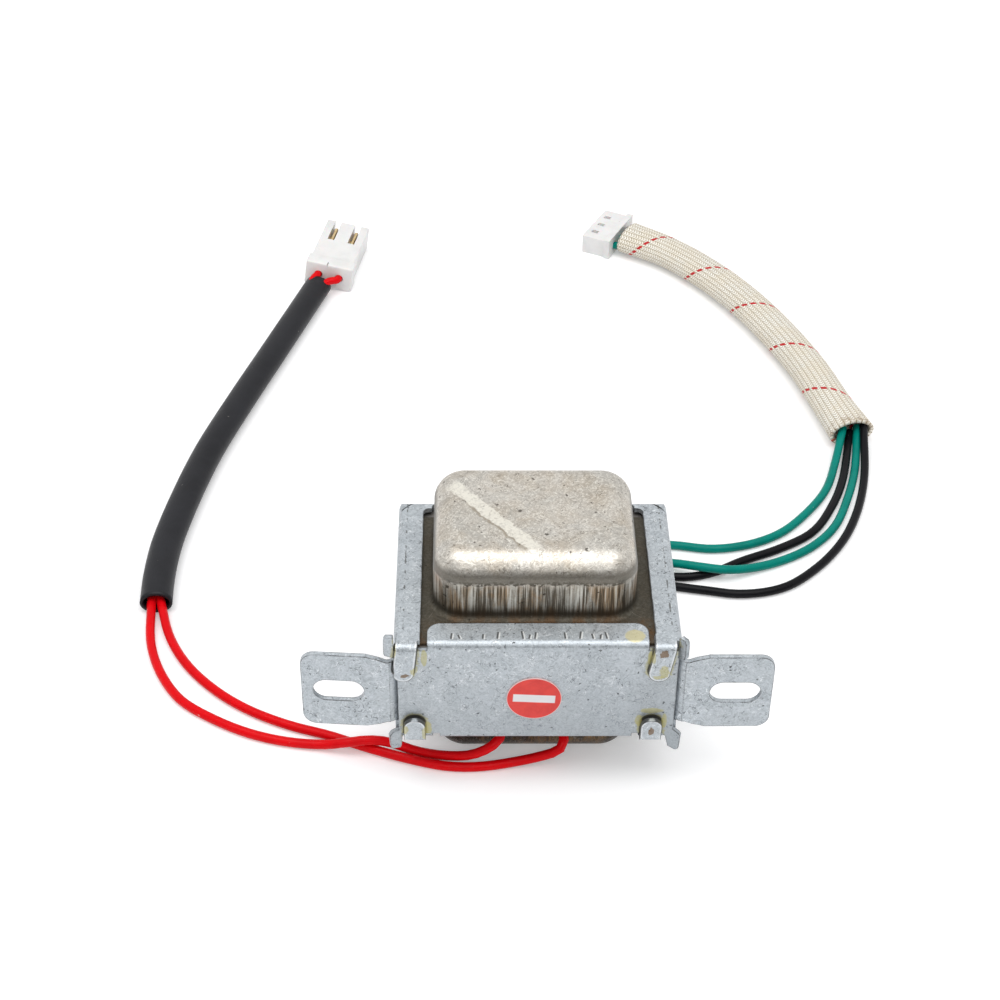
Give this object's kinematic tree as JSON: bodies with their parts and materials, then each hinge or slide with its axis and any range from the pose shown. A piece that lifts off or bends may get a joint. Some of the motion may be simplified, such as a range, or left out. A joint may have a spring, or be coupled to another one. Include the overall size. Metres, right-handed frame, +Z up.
{
  "type": "laminated chassis transformer",
  "caption": "Laminated transformer in a folded channel frame with slotted lugs, two drawn covers, flying leads, two sleeves and two plug housings.",
  "frame": {"origin": "on the ground, on the flat of the lower cover, under the middle of the channel frame", "axes": "+X to the right along the fixing lugs, +Y from the front plate to the back, +Z up"},
  "size_m": [0.1354, 0.175, 0.0407],
  "materials": {
    "zinc_sheet": "zinc-plated, speckled",
    "cover_steel": "dull drawn steel",
    "core_steel": "dark lamination edges",
    "bobbin_nylon": "satin",
    "enamelled_wire": "enamelled copper",
    "coil_tape": "gloss film",
    "red_seal": "gloss",
    "red_insulation": "gloss",
    "green_insulation": "gloss",
    "black_insulation": "gloss",
    "black_sleeving": "satin",
    "glass_braid": "woven",
    "white_nylon": "satin",
    "contact_metal": "tinned brass"
  },
  "bodies": {
    "root": {"channel_frame": "zinc_sheet", "front_plate": "zinc_sheet", "upper_cover": "cover_steel", "lower_cover": "cover_steel", "core_e_stack": "core_steel", "core_i_stack": "core_steel", "bobbin": "bobbin_nylon", "primary_winding": "enamelled_wire", "secondary_winding": "enamelled_wire", "primary_tape": "coil_tape", "secondary_tape": "coil_tape", "seal_disc": "red_seal", "red_lead_a": "red_insulation", "red_lead_b": "red_insulation", "green_lead_a": "green_insulation", "green_lead_b": "green_insulation", "black_lead_a": "black_insulation", "black_lead_b": "black_insulation", "black_sleeve": "black_sleeving", "braided_sleeve": "glass_braid", "two_way_housing": "white_nylon", "two_way_contacts": "contact_metal", "three_way_housing": "white_nylon", "three_way_contacts": "contact_metal"}
  },
  "joints": []
}
